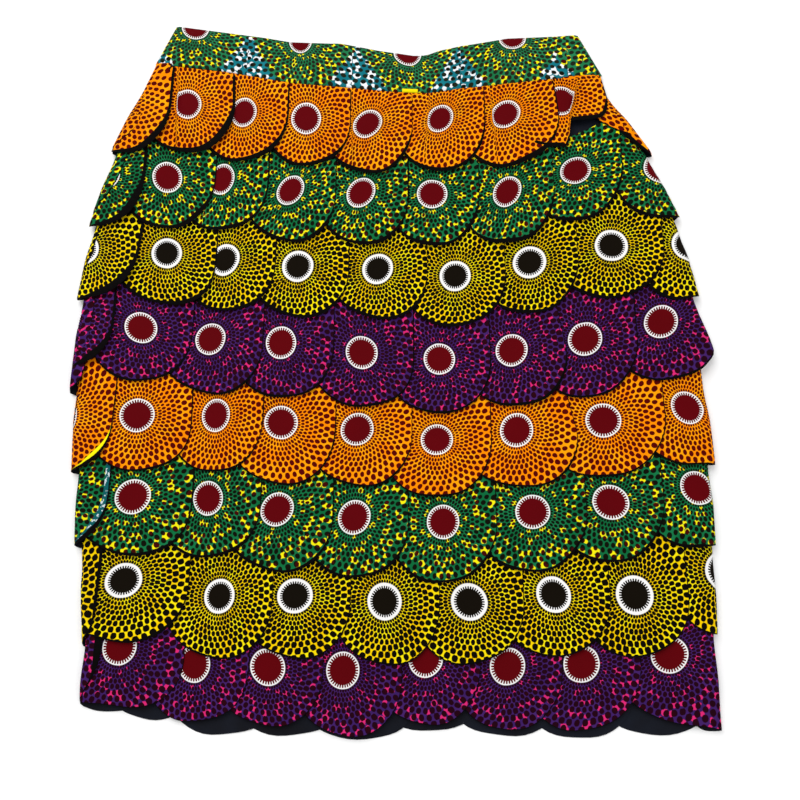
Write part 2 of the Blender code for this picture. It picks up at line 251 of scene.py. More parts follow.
class Shells:
    """Gathers thin closed shells, each from an outer and an inner grid of points, into one mesh.

    Each point also keeps its place in the print and some numbers by name, for the materials.
    """

    def __init__(self):
        self.points, self.faces, self.inside, self.print_places = [], [], [], []
        self.marks, self.count = {}, 0

    def add(self, outer, inner, print_place=None, **marks):
        rows, columns = outer.shape[:2]
        size = rows * columns
        grid = np.arange(size).reshape(rows, columns) + self.count
        under = grid + size
        quads = np.stack([grid[:-1, :-1], grid[1:, :-1], grid[1:, 1:], grid[:-1, 1:]], -1)
        below = np.stack([under[:-1, :-1], under[:-1, 1:], under[1:, 1:], under[1:, :-1]], -1)
        ring = np.concatenate([grid[:, 0], grid[-1, 1:], grid[-2::-1, -1], grid[0, -2:0:-1]])
        after = np.roll(ring, -1)
        rim = np.stack([after, ring, ring + size, after + size], -1)
        for faces, within in ((quads, 0), (below, 1), (rim, 1)):
            faces = faces.reshape(-1, 4)
            self.faces.append(faces)
            self.inside.append(np.full(len(faces), within))
        self.points += [outer.reshape(-1, 3), inner.reshape(-1, 3)]
        place = np.zeros((rows, columns, 2)) if print_place is None else print_place
        self.print_places += [place.reshape(-1, 2)] * 2
        for name, values in marks.items():
            whole = np.broadcast_to(values, (rows, columns)).reshape(-1)
            self.marks.setdefault(name, []).extend([whole, whole])
        self.count += 2 * size

    def make(self, piece_name, outer_finish):
        """The piece, with its finish outside and dark cotton within."""
        mesh = bpy.data.meshes.new(piece_name)
        points = np.concatenate(self.points) * MM
        mesh.from_pydata(points.tolist(), [], np.concatenate(self.faces).tolist())
        mesh.materials.append(outer_finish)
        mesh.materials.append(dark_cotton)
        mesh.polygons.foreach_set("material_index", np.concatenate(self.inside).astype(np.int32))
        corners = np.empty(len(mesh.loops), np.int32)
        mesh.loops.foreach_get("vertex_index", corners)
        layer = mesh.uv_layers.new(name="print_place")
        places = np.concatenate(self.print_places)[corners]
        layer.uv.foreach_set("vector", places.astype(np.float32).reshape(-1))
        for name, values in self.marks.items():
            kept = mesh.attributes.new(name, "FLOAT", "POINT")
            kept.data.foreach_set("value", np.concatenate(values).astype(np.float32))
        mesh.shade_smooth()
        mesh.set_sharp_from_angle(angle=math.radians(55.0))
        mesh.update()
        made = bpy.data.objects.new(piece_name, mesh)
        bpy.context.collection.objects.link(made)
        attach(made, "root")
        return made


def curved(x, edge):
    """Height at x of a line across the skirt."""
    away = x - DIP_X
    rise = np.where(away < 0, edge["left_rise"], edge["right_rise"])
    softened = np.hypot(away, DIP_SOFT) - DIP_SOFT
    more = np.interp(x, *zip(*edge["more"])) if "more" in edge else 0.0
    return edge["level"] + more + rise * softened / (DIP_REACH - DIP_SOFT)


def smooth(value, low, high):
    """0 below low, 1 above high and a soft rise between them."""
    share = np.clip((value - low) / (high - low), 0.0, 1.0)
    return share * share * (3.0 - 2.0 * share)


def between(ends, share):
    """The value a share of the way from the first of two ends to the second."""
    return ends[0] + (ends[1] - ends[0]) * share


def turned_under(room, radius):
    """1 inside a panel, and down to 0 along a quarter round at its side edges."""
    past = np.clip(1.0 - room / radius, 0.0, 1.0)
    return np.sqrt(np.clip(1.0 - past * past, 0.0, 1.0))


# Main creases of the front, which all its layers share: place, length, lean from upright in
# degrees, width and height.
CREASES = (
    (-214, 205, 60, 14, 9, 1.3), (-172, 214, 52, -4, 6, 0.9), (-120, 190, 70, 9, 12, 0.8),
    (-52, 205, 64, -7, 8, 0.7), (8, 196, 58, 5, 10, 0.9), (66, 200, 66, -12, 8, 0.8),
    (118, 214, 48, 10, 7, 1.0), (176, 214, 60, -24, 9, 1.4), (-238, 120, 74, 12, 10, 1.0),
    (-176, 128, 46, -16, 8, 0.6), (-92, 116, 80, 6, 13, 0.7), (-22, 128, 52, 18, 9, 0.8),
    (54, 118, 62, -8, 11, 0.7), (128, 132, 70, -20, 9, 0.9), (206, 138, 66, -28, 10, 1.1),
    (-226, 40, 82, 8, 12, 0.9), (-132, 54, 44, -22, 9, 0.6), (-58, 36, 76, 11, 12, 0.7),
    (24, 48, 50, -5, 8, 0.8), (96, 40, 84, 14, 12, 0.6), (190, 62, 58, -18, 9, 1.0),
    (-206, -34, 66, 16, 10, 0.9), (-110, -26, 54, -9, 9, 0.6), (-14, -40, 72, 4, 12, 0.7),
    (84, -32, 48, 20, 8, 0.7), (168, -20, 78, -11, 12, 0.8), (236, -22, 44, -30, 8, 0.9),
    (-228, -110, 60, 6, 9, 1.0), (-150, -96, 46, -14, 8, 0.6), (-62, -112, 70, 12, 12, 0.6),
    (38, -104, 52, -6, 9, 0.7), (120, -98, 80, 8, 12, 0.7), (216, -92, 58, -16, 9, 0.9),
    (-190, -168, 64, 10, 10, 0.8), (-84, -176, 48, -18, 9, 0.6), (6, -170, 74, 5, 12, 0.6),
    (98, -178, 56, -10, 9, 0.7), (192, -166, 66, 14, 10, 0.8), (-214, -238, 58, -8, 9, 0.8),
    (-134, -246, 44, 12, 8, 0.6), (-30, -240, 62, -5, 10, 0.6), (72, -248, 50, 15, 9, 0.7),
    (150, -242, 60, -12, 9, 0.7), (226, -236, 52, 9, 8, 0.8),
)


def creased(x, y):
    """Rise of the front's layers where the cloth is creased."""
    rise = np.zeros(np.broadcast(x, y).shape)
    for cx, cy, length, lean, width, height in CREASES:
        turn = math.radians(lean)
        along = (x - cx) * math.sin(turn) + (y - cy) * math.cos(turn)
        across = (x - cx) * math.cos(turn) - (y - cy) * math.sin(turn)
        rise = rise + height * np.exp(-((along / (0.5 * length)) ** 2) - (across / width) ** 2)
    return rise


def foundation(name, face_height, up):
    """One panel, its side edges bent to the side seam where it meets the other panel."""
    heights, lefts, rights = zip(*FOUNDATION_SIDES[::-1])
    share = np.linspace(0.0, 1.0, FOUNDATION_COLUMNS + 1)[None, :]
    if up < 0:
        share = share[:, ::-1]
    top = curved(between((lefts[-1], rights[-1]), share), BAND_FOOT) - FOUNDATION_UNDER_BAND
    down = np.linspace(0.0, 1.0, FOUNDATION_ROWS + 1)[:, None]
    y = top + (FOUNDATION_HEM - top) * down
    left, right = np.interp(y, heights, lefts), np.interp(y, heights, rights)
    x = between((left, right), share)
    bend = turned_under(np.minimum(x - left, right - x), FOUNDATION_ROUND)
    rise = creased(x, y) * bend if up > 0 else 0.0
    inner_z = between((SIDE_SEAM, face_height), bend) + rise
    outer_z = inner_z + up * FOUNDATION_CLOTH * bend
    shells = Shells()
    shells.add(np.stack([x, y, outer_z], -1), np.stack([x, y, inner_z], -1))
    return shells.make(name, dark_cotton)


foundation_front = foundation("foundation_front", FOUNDATION_FRONT, 1.0)
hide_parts("base_front")
foundation_back = foundation("foundation_back", FOUNDATION_BACK, -1.0)
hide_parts("base_back_left", "base_back_right")

# Print: each petal is cut round one roundel of a wax print. A plain disc has fine teeth and a
# white ring, and staggered rings of dots that grow outwards make a net of the ground. The green
# and the purple cloths are also splashed with a bright colour round some of their dots.
# Lengths in the print are in radii of the white ring round the disc.
TEETH = 36
TOOTH_FLANK = (0.28, 0.48)
WHITE = (0.88, 0.87, 0.86, 1.0)
MAROON = (0.105, 0.001, 0.003, 1.0)
# How far the cloth pulls the print out of true, and over which scale
PULL = 0.07
PULL_SCALE = 1.1
# Dots stand in rows of DOT_ROUNDS round the disc, from DOT_FROM out. The first row is
# 1 / (DOT_ROWS * ROW_GROWTH) deep, and each is deeper than the last by one part in DOT_ROWS.
DOT_ROUNDS = 45
DOT_FROM = 0.955
DOT_ROWS = 15
ROW_GROWTH = 0.30
# Half of a dot's length to its row's depth, and half of its width to its share of the round: at
# HALVES_AT, how it grows outwards from there, and the most that it comes to.
HALVES_AT = 1.1
DOT_LONG = (0.50, 0.05, 0.55)
DOT_WIDE = (0.44, -0.035, 0.44)
# How far the dots lean, the spread of their sizes and the least, how ragged and how soft they are
DOT_SLANT = 0.6
DOT_SIZES = (0.22, 0.88)
DOT_RAGGED = 0.36
DOT_SOFT = 0.07
# Splashes to a radius, the spread of their sizes, how ragged they are, how much they grow
# outwards, and from where and over how far they do
SPLASHES = 1.8
SPLASH_SIZES = 0.16
SPLASH_RAGGED = 0.36
SPLASH_GROWTH = 0.07
SPLASHES_GROW = (1.7, 0.8)


def print_group():
    """The roundel print, from a place measured from the roundel's centre."""
    colours = ("ground", "ground_light", "dot", "splashed_dot", "disc", "splash")
    tree, w, given, out = new_group(
        "roundel_print",
        [("Place", "Vector", None)]
        + [(name, "Color", (0.5, 0.5, 0.5, 1.0)) for name in colours]
        + [("disc_edge", "Float", 0.785), ("teeth_edge", "Float", 0.935),
           ("splash_size", "Float", -2.0), ("dot_size", "Float", 1.0), ("Seed", "Float", 0.0)],
        [("Color", "Color"), ("Ink", "Float")],
    )
    piece = w.joined(0.0, 0.0, w.multiply(given["Seed"], 3.7))
    spot = w.vector("ADD", given["Place"], piece)
    wobble = w.vector("SUBTRACT", w.noise(spot, PULL_SCALE, 2.0, "Color"), (0.5, 0.5, 0.5))
    moved = w.vector("MULTIPLY_ADD", wobble, (PULL, PULL, 0.0), given["Place"])
    parts = w.parts(moved)
    flat = w.joined(parts["X"], parts["Y"])
    reach = w.maximum(w.vector("LENGTH", flat), 0.05)
    turn = w.add(w.divide(w.arctan2(parts["Y"], parts["X"]), 2.0 * math.pi), 0.5)

    saw = w.fract(w.multiply(turn, TEETH))
    tooth = w.ramp(w.absolute(w.multiply_add(saw, 2.0, -1.0)), *TOOTH_FLANK)
    tooth_room = w.subtract(given["teeth_edge"], given["disc_edge"])
    disc_rim = w.multiply_add(tooth, tooth_room, given["disc_edge"])
    disc = w.ramp(w.subtract(disc_rim, reach), -0.01, 0.01)
    ring = w.ramp(w.subtract(1.0, reach), -0.015, 0.015)

    beyond = w.maximum(w.subtract(reach, DOT_FROM), -1.0)
    steps = w.logarithm(w.multiply_add(beyond, ROW_GROWTH, 1.0), math.e)
    steps = w.multiply(steps, DOT_ROWS)
    number = w.floor(steps)
    offset = w.multiply(w.modulo(w.absolute(number), 2.0), 0.5)
    cell = w.multiply_add(turn, DOT_ROUNDS, offset)
    cell_number = w.floor(w.modulo(cell, DOT_ROUNDS))
    around = w.multiply(turn, 2.0 * math.pi)
    drum_radius = DOT_ROUNDS / (2.0 * math.pi)
    drum = w.joined(w.multiply(w.cosine(around), drum_radius),
                    w.multiply(w.sine(around), drum_radius),
                    w.multiply_add(given["Seed"], 17.3, steps))
    long = w.subtract(w.fract(steps), 0.5)
    slant = w.multiply(w.subtract(w.noise(drum, 0.16, 1.0), 0.5), DOT_SLANT)
    wide = w.multiply_add(long, slant, w.subtract(w.fract(cell), 0.5))
    from_middle = []
    for room, (first, growth, most) in ((wide, DOT_WIDE), (long, DOT_LONG)):
        half = w.multiply_add(reach, growth, first - HALVES_AT * growth)
        from_middle.append(w.divide(room, w.minimum(half, most)))
    round_form = w.vector("LENGTH", w.joined(*from_middle))
    chance = w.node("ShaderNodeTexWhiteNoise", noise_dimensions="3D")
    w.feed(chance.inputs["Vector"], w.joined(cell_number, number, given["Seed"]))
    size = w.multiply_add(chance.outputs["Value"], *DOT_SIZES)
    size = w.multiply(given["dot_size"], size)
    smooth_form = w.add(w.divide(round_form, size), -0.5 * DOT_RAGGED)
    ragged = w.multiply_add(w.noise(drum, 1.9, 1.0), DOT_RAGGED, smooth_form)
    dot = w.ramp(ragged, 1.0 + DOT_SOFT, 1.0 - DOT_SOFT)

    turned_on = w.multiply(given["Seed"], 9.7)
    moved_on = w.vector("MULTIPLY", (0.73, 0.41, 0.0), w.joined(turned_on, turned_on))
    on_cloth = w.vector("ADD", flat, moved_on)
    scatter = w.node("ShaderNodeTexVoronoi", {"Vector": on_cloth, "Scale": SPLASHES},
                     voronoi_dimensions="2D").outputs
    sizes = w.node("ShaderNodeSeparateColor", {"Color": scatter["Color"]}).outputs["Red"]
    patch = w.subtract(given["splash_size"], 0.5 * SPLASH_SIZES)
    patch = w.multiply_add(sizes, SPLASH_SIZES, patch)
    patch = w.subtract(patch, 0.5 * SPLASH_RAGGED)
    patch = w.multiply_add(w.noise(on_cloth, 5.0, 1.0), SPLASH_RAGGED, patch)
    outwards = w.minimum(w.subtract(reach, SPLASHES_GROW[0]), SPLASHES_GROW[1])
    patch = w.multiply_add(outwards, SPLASH_GROWTH, patch)
    inside = w.subtract(patch, scatter["Distance"])
    splash = w.ramp(inside, 0.0, 0.05)
    near_splash = w.ramp(inside, -0.02, 0.02)

    lighter = w.ramp(w.noise(spot, 0.9, 3.0), 0.42, 0.62)
    colour = w.mix(lighter, given["ground"], given["ground_light"])
    colour = w.mix(splash, colour, given["splash"])
    colour = w.mix(dot, colour, w.mix(near_splash, given["dot"], given["splashed_dot"]))
    colour = w.mix(ring, colour, WHITE)
    colour = w.mix(disc, colour, given["disc"])
    w.feed(out["Color"], colour)
    w.feed(out["Ink"], w.maximum(disc, dot))
    return tree


roundel_print = print_group()


def printed(w, place, finish):
    """The roundel print in one of its colourings."""
    return w.node("ShaderNodeGroup", {"Place": place, **finish}, node_tree=roundel_print).outputs


def seed_print(w, seed):
    """Gives a finish's prints the number from which their dots and splashes vary."""
    for node in w.tree.nodes:
        if node.bl_idname == "ShaderNodeGroup" and node.node_tree == roundel_print:
            w.feed(node.inputs["Seed"], seed)


def printed_cotton(w, colour, ink):
    """A cotton with a print on it, a little smoother where it is inked."""
    worn = w.node("ShaderNodeHueSaturation", {"Color": colour, "Value": 0.86}).outputs["Color"]
    cotton(w, worn, colour, clouds=(0.2, 0.8), rough=w.multiply_add(ink, -0.08, 0.66),
           grain=0.04, bump=(0.4, 0.00025), gloss=0.02)


GREEN_PRINT = dict(
    ground=(0.004, 0.13, 0.04, 1.0), ground_light=(0.008, 0.17, 0.058, 1.0),
    dot=(0.004, 0.005, 0.002, 1.0), splashed_dot=(0.05, 0.002, 0.002, 1.0), disc=MAROON,
    splash=(0.9, 0.8, 0.004, 1.0), splash_size=0.26, dot_size=0.9)

# Waistband: an interfaced band of the green print, turned over at the top and seamed to the
# tiers at its foot. Roundels are cut through by its top edge, and wedges of another ground with
# white specks rise between them from the foot.
# The band's print is the green print painted lighter in its ground, light ground and dots: painted
# glare where the band faces the light. The teal print takes over the same lighter dots.
GLARE_PAINTED_BAND_PRINT = dict(GREEN_PRINT, ground=(0.01, 0.15, 0.052, 1.0),
                  ground_light=(0.018, 0.2, 0.078, 1.0), dot=(0.012, 0.016, 0.008, 1.0))
TEAL_PRINT = dict(GLARE_PAINTED_BAND_PRINT, ground=(0.006, 0.15, 0.19, 1.0),
                  ground_light=(0.01, 0.19, 0.23, 1.0), splashed_dot=(0.004, 0.005, 0.002, 1.0),
                  splash=(0.84, 0.86, 0.88, 1.0), splash_size=0.3, dot_size=0.85)
BAND_TOP = {"level": 276, "left_rise": 33, "right_rise": 30,
            "more": ((-120, 0), (-96, -1), (-60, 3), (-50, 4.5), (-30, 3), (-15, 1.7), (4, 1),
                     (18, 0), (29, 1), (42, 6), (60, 9), (104, 12), (150, 8), (170, 7))}
BAND_ENDS = {"top": (-203, 170), "foot": (-219, 189.5)}
# Thickness of the front and of the back, and how high off the table the underside of each lies,
# at the foot and at the top
BAND_WALL = 2.4
BAND_FRONT_HEIGHTS = (4.5, 2.7)
BAND_BACK_HEIGHTS = (1.8, 0)
BACK_BAND_SHORTER = 2
BACK_STRETCHES = {"left": (0.0, 0.4995), "right": (0.5005, 1.0)}
BAND_COLUMNS = 120
BAND_ROUND = 4
# Places of the discs, the repeat past the last ones, and the disc that a pinch in the cloth
# narrows: how far the pinch reaches, and how much it narrows the print.
BAND_RING = 12.5
BAND_DISCS = (-185, -87, 12, 109)
BAND_DISC_PITCH = 98
PINCHED_DISC = 1
PINCH_HALF = 9
PINCH = 1.3
# Wedges of the teal ground: middle of the foot, half of its width, and height, and how ragged
WEDGES = ((-213, 13, 13), (-134, 27, 43), (-34, 29, 45), (58, 28, 42), (147, 16, 26))
WEDGE_RAGGED = 16
# A scrap of bright ground along the foot: its middle, half of its width, and height
YELLOW_SCRAP = (14, 7, 3.2)
# The band in section, from its foot to its top: share of its height, and share of its thickness
BAND_PROFILE = ((0.0, 0.35), (0.01, 0.8), (0.05, 1.08), (0.12, 1.1), (0.25, 1.04), (0.4, 1.0),
                (0.55, 1.0), (0.7, 1.02), (0.84, 1.04), (0.93, 1.0), (0.98, 0.82), (1.0, 0.5))


def band_finish():
    """The band's print, with its roundels in a row and the wedges between them."""
    made, w = new_material("waistband_print")
    uv = w.node("ShaderNodeUVMap", uv_map="print_place").outputs["UV"]
    parts = w.parts(uv)
    shifted = w.add(parts["X"], 0.5)
    near_disc = w.multiply(w.subtract(w.fract(shifted), 0.5), BAND_DISC_PITCH / BAND_RING)
    place = w.joined(near_disc, parts["Y"])
    # The band's print, with its painted glare, and the teal of the wedges.
    main = printed(w, place, GLARE_PAINTED_BAND_PRINT)
    teal = printed(w, place, TEAL_PRINT)
    along, up = w.mark("band_along"), w.mark("band_up")
    torn = w.multiply_add(w.noise(uv, 1.1, 3.0), WEDGE_RAGGED, -0.5 * WEDGE_RAGGED)
    wedge = 0.0
    for middle, half, rise in WEDGES:
        beside = w.absolute(w.subtract(along, middle))
        slope = w.multiply_add(up, -half / rise, half)
        inside = w.add(torn, w.subtract(slope, beside))
        wedge = w.maximum(wedge, w.ramp(inside, 0.0, 1.0))
    colour = w.mix(wedge, main["Color"], teal["Color"])
    in_scrap = w.compare(along, YELLOW_SCRAP[0], YELLOW_SCRAP[1])
    in_scrap = w.multiply(in_scrap, w.less_than(up, YELLOW_SCRAP[2]))
    colour = w.mix(in_scrap, colour, GREEN_PRINT["splash"])
    seed_print(w, w.floor(shifted))
    printed_cotton(w, colour, main["Ink"])
    return made


def pinched(x):
    """Place along the print at x, where the pinch takes some of it in."""
    return x + (PINCH - 1.0) * np.clip(x - BAND_DISCS[PINCHED_DISC], -PINCH_HALF, PINCH_HALF)


def waistband(name, from_share, to_share, heights, shorter, up):
    """A stretch of the band: its rounded profile swept along, its outer ends bent to the side."""
    span = np.linspace(from_share, to_share, BAND_COLUMNS + 1)[None, :]
    if up < 0:
        span = span[:, ::-1]
    rise, swell = np.array(BAND_PROFILE[::-1]).T[:, :, None]
    foot_x, top_x = between(BAND_ENDS["foot"], span), between(BAND_ENDS["top"], span)
    x = between((foot_x, top_x), rise)
    foot_y = curved(foot_x, BAND_FOOT)
    y = between((foot_y, curved(top_x, BAND_TOP) - shorter), rise)
    width = BAND_ENDS["foot"][1] - BAND_ENDS["foot"][0]
    bend = turned_under(np.minimum(span, 1.0 - span) * width, BAND_ROUND)
    low = between(heights, rise)
    seam_height = between((SIDE_SEAM, 0.5 * (BAND_FRONT_HEIGHTS[1] + BAND_WALL)), rise)
    near = low if up > 0 else low + BAND_WALL
    outer_z = between((seam_height, near + up * BAND_WALL * swell), bend)
    inner_z = between((seam_height, near + up * BAND_WALL * 0.35 * (swell > 0.6)), bend)
    if up > 0:
        outer_z = outer_z + creased(x, y) * 0.4 * bend * np.sin(math.pi * rise)
        inner_z = np.minimum(inner_z, outer_z - 0.1)
    else:
        outer_z = np.maximum(outer_z, 0.05)
        inner_z = np.maximum(inner_z, outer_z + 0.1)
    print_x, knots = pinched(x), pinched(np.array(BAND_DISCS))
    numbers = np.interp(print_x, knots, range(len(knots)))
    numbers = numbers + np.minimum(print_x - knots[0], 0.0) / BAND_DISC_PITCH
    numbers = numbers + np.maximum(print_x - knots[-1], 0.0) / BAND_DISC_PITCH
    place = np.stack([numbers, (y - curved(x, BAND_TOP)) / BAND_RING], -1)
    shells = Shells()
    shells.add(np.stack([x, y, outer_z], -1), np.stack([x, y, inner_z], -1), place,
               band_along=x, band_up=y - foot_y)
    made = shells.make(name, band_cloth)
    return made


band_cloth = band_finish()
band_front = waistband("band_front", 0.0, 1.0, BAND_FRONT_HEIGHTS, 0.0, 1.0)
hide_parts("waistband_front")
for which, (begin, end) in BACK_STRETCHES.items():
    band_back = waistband(f"band_back_{which}", begin, end, BAND_BACK_HEIGHTS, BACK_BAND_SHORTER,
                          -1.0)
    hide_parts(f"waistband_back_{which}")

# Tiers: rows of round-ended petals, each of two plies, print outside and dark cotton within,
# seamed and turned so that the dark ply shows as an edge. That edge is painted on the print in
# near black, and under each petal it is widened with painted shadow. Every petal is caught along
# its top under the tier above, and lies over its right-hand neighbour, all round the skirt.
# One row each, from the waist down. level is the height of the roundels at the dip, half_width
# and drop are the petal's round end, left and right the corners at the skirt's sides, and edge is
# the width of the near-black band painted beside a petal and under it: the dark ply that shows,
# and under the petal also painted shadow. A row may end with how far its tier starts inside the
# one above it (_tuck) and how much higher its corner lies (_up).
TIER_FACTS = ("colour", "level", "left_rise", "right_rise", "half_width", "drop", "left",
              "right", "edge")
TIER_ROWS = (
    ("orange", 204, 15, 24, 40, 48, -252, 228, (0.9, 3.2), {}),
    ("green", 132, 18, 25, 41, 49, -264, 250, (0.9, 3), {}),
    ("yellow", 56, 21, 30, 42, 46, -268, 258, (0.8, 2.6), {}),
    ("purple", -18, 26, 32, 43, 47, -266, 267, (0.8, 1.9), {"right_up": 18}),
    ("orange", -85, 20, 28, 44, 46, -258, 257.5, (0.7, 1.6), {"right_tuck": 12}),
    ("green", -151, 19, 27, 43, 46.5, -249, 252, (0.8, 2.2), {}),
    ("yellow", -213, 14, 20, 42, 46, -236, 246.5, (0.6, 1.3), {"right_tuck": 1}),
    ("purple", -262, 13, 11, 41, 47, -237, 246, (0.5, 0.6), {"left_tuck": 0.5, "right_tuck": 1.5}),
)
# A tier's petals from left to right: the place of each roundel, how far it is raised out of the
# tier's line, how far beside the middle of its petal it sits, and its width, height and lean
# against a plain round one, where the cloth lies pulled or eased.
PLAIN_ROUNDEL = (0, 1.04, 1.12, 0)
PETALS = (
    ((-240, 0, -16, 0.85, 0.98, 0), (-186, 5, 0, 0.97, 1.2, -0.1), (-136, 0, 1, 0.88, 1.2, 0),
     (-78, -2, -1, 1.02, 1.28, -0.03), (-24, -4, 0, 0.96, 1.15, 0.19),
     (41, 4, -0.2, 0.88, 1.1, 0.18), (101, 3, -1.6, 1.01, 1.13, 0.2), (147, 12, 3, 1, 1.15, 0),
     (228, 0, -54, 0.8, 0.9, 0)),
    ((-254, -3), (-198, 0, -0.8, 1, 1.22, -0.14), (-151, 2, 0, 0.84, 1.2, 0.05),
     (-91, -4, 0.5, 0.89, 1.14, 0.18), (-28, -1, -1, 0.95, 1.16, 0.14), (34, 1, -1, 1.02, 1.1, 0),
     (98, -2, 0.3, 0.92, 1.18, 0.22), (160, 12, -0.7, 1.03, 1.04, 0.19), (233, 6)),
    ((-260, -1, -4.5, 0.92, 1.12, -0.1), (-195, 1, 0.9, 1, 1.11, -0.07),
     (-142, 0, -2, 0.94, 1.16, 0.05), (-81, 0, -0.9, 1.02, 1.14, 0.01), (-13, 4, -1, 1, 1.11, 0.06),
     (52, -1, -0.4, 1.01, 1.1, 0.05), (115, 4, 0.2, 1.09, 1.16, 0.11),
     (185, 10, 1, 1.08, 1.16, 0.05), (247, 2, 3.5, 0.97, 1.12, 0)),
    ((-280, 0, 5, 1, 1.1, 0), (-211, 1, 0.2, 1.04, 1.08, -0.2), (-152, -2, -0.3, 0.95, 1.08, 0.03),
     (-93, 2, -0.6, 0.96, 1.13, -0.02), (-27, 1, 0.4, 1.01, 1.13, -0.07),
     (37, 0, 0.4, 0.99, 1.06, 0), (97, 1, 0.2, 1.01, 1.11, 0.1), (159, 2, -0.5, 1.08, 1.15, 0.12),
     (223, 8, 0, 1.08, 1.15, 0.16)),
    ((-270, -8, 1, 1, 1.1, 0), (-208, -1, 0.1, 1.09, 1.09, -0.04), (-145, 5, 0.8, 0.86, 1.09, 0),
     (-91, 4, -0.2, 1.04, 1.09, -0.06), (-29, 4, -0.6, 1.02, 1.05, 0.05),
     (34, -1, 0.7, 0.99, 0.99, 0.04), (98, 1, 1, 1.02, 1.11, 0.07),
     (170, 0, -0.6, 1.11, 1.11, 0.03), (237, 2, 1.1, 0.97, 1.07, -0.09)),
    ((-268, 0), (-206, 0, -0.1, 1.09, 1.08, 0), (-147, 4, 0.3, 0.9, 1.07, -0.05),
     (-91, 0, -0.7, 1, 1.04, 0.08), (-31, -1, 0.1, 0.98, 1.05, 0.06),
     (38, -1, 0.7, 0.97, 1.04, 0.01), (109, 0, 0.3, 1.04, 1.04, 0.04),
     (171, 0, 0.2, 1.11, 1.07, -0.02), (239, 3, 1, 0.97, 1.05, -0.06)),
    ((-269, -6), (-209, 2, 1, 1.11, 1.02, 0.05), (-134, -5, 0.7, 0.89, 1.01, 0.01),
     (-75, -1, -0.6, 1.05, 1.01, 0.02), (-6, -1, -0.8, 1, 1.09, -0.03),
     (58, -1, 0, 1.08, 1.08, -0.04), (124, -1, -1.2, 1.02, 1.06, -0.06),
     (185, -7, -0.2, 1.1, 1.15, 0), (254.5, 4)),
    ((-265, 0), (-206, 3, -1.3, 1, 1.04, 0.01), (-149, -6, -1, 0.94, 1.04, -0.04),
     (-94, -5, -0.5, 1.01, 1.04, -0.08), (-35, -4, -3, 0.96, 1.04, 0), (25, 7, -0.8, 1, 1.04, 0.04),
     (86, 0, -0.1, 1.02, 1.04, 0.08), (141, -1, 0.6, 1.04, 1.04, 0.08),
     (216, 2, -7.6, 1.08, 1.04, 0.08)),
)
TIERS = [dict(zip(TIER_FACTS, row), petals=petals, **row[-1])
         for row, petals in zip(TIER_ROWS, PETALS)]
# Where the first tier's sides start, and how far inside the tier above the others start
SIDE_TOP = {"left": (-221, 262), "right": (191, 238)}
SIDE_TUCK = 4
# How far a tier's top lies above the lowest points of the tier that covers it
OVERLAP = 24
TIER_UNDER_BAND = 0.3
# Heights off the table of the tiers' inner faces, and how far they rise to ride on the next tier,
# between OVERLAP_MARGIN past their top and LIFT_MARGIN before it. The last front tier falls to
# the table instead, and the back's tiers are pressed flatter than the front's.
FRONT_TIER_LOW = 6
FRONT_LIFT = 2.5
HEM_DROP = 3.4
BACK_TIER_HIGH = 2.7
BACK_LIFT = 1.5
BACK_SCALE = 0.5
OVERLAP_MARGIN = 4
LIFT_MARGIN = 8
# Round the skirt's side: how far from it the cloth starts to turn, the length of a quarter turn,
# and the cloth's height there, which does not add to the skirt's width.
SIDE_ROUND = 8
SIDE_ARC = 9.7
SIDE_SPREAD = 4.4
# The back's petals: how many to a tier and how far in they start, how far the odd ones are raised
# and where a roundel sits on one, and the scallops under the front's hem: middle, lowest point.
BACK_PETALS = 9
BACK_SHIFT = 9
BACK_ODD = {(0, 8): (18, 14, 1.04, 1.12, 0), (1, 8): (7,), (3, 0): (-14,), (3, 8): (24,)}
BACK_HEM_DROP = 28
BACK_HEM = ((-182, -304), (-129, -309), (-80, -310), (-27, -313), (27, -306), (85, -310),
            (140, -311), (199, -310))
# A petal: its thickness, its rise over its neighbour per millimetre across, the height of its
# middle, its loose edge and its ripples, how far in an edge stands off, how far its width strays
# from the tier's, and how much of the tier line's slope its hem has.
PETAL_CLOTH = 0.5
SHINGLE = 0.016
CROWN = 0.3
LOOSE_EDGE = 0.45
RIPPLE = 0.09
EDGE_REACH = 9
WIDTH_STRAYS = 0.02
HEM_FOLLOWS = 0.8
RING_RADIUS = 13
FRONT_GRID = (40, 36)
BACK_GRID = (20, 20)
CROWDED_ROWS = 1.35

PRINTS = {
    "orange": dict(ground=(0.97, 0.25, 0.0, 1.0), ground_light=(0.99, 0.36, 0.002, 1.0),
                   dot=(0.085, 0.001, 0.001, 1.0), disc=MAROON, dot_size=0.91),
    "green": GREEN_PRINT,
    "yellow": dict(ground=(0.9, 0.58, 0.0, 1.0), ground_light=(0.92, 0.78, 0.004, 1.0),
                   dot=(0.003, 0.002, 0.001, 1.0), disc=(0.006, 0.004, 0.002, 1.0),
                   disc_edge=0.71, teeth_edge=0.84, dot_size=1.07),
    "purple": dict(ground=(0.042, 0.012, 0.11, 1.0), ground_light=(0.056, 0.016, 0.13, 1.0),
                   dot=(0.016, 0.001, 0.006, 1.0), splashed_dot=(0.022, 0.001, 0.004, 1.0),
                   disc=MAROON, splash=(0.7, 0.022, 0.17, 1.0), splash_size=0.24),
}
# Next colour of the cloth, its specks, and the level above which they show
FRINGES = {"orange": ((0.92, 0.86, 0.004, 1.0), (0.9, 0.4, 0.002, 1.0), 0.68),
           "green": ((0.004, 0.10, 0.11, 1.0), (0.60, 0.70, 0.72, 1.0), 0.56)}
# Near black of the petals' edge band: the dark ply that shows, and painted shadow under the petals.
PETAL_LINING_AND_SHADOW = (0.0025, 0.002, 0.002, 1.0)
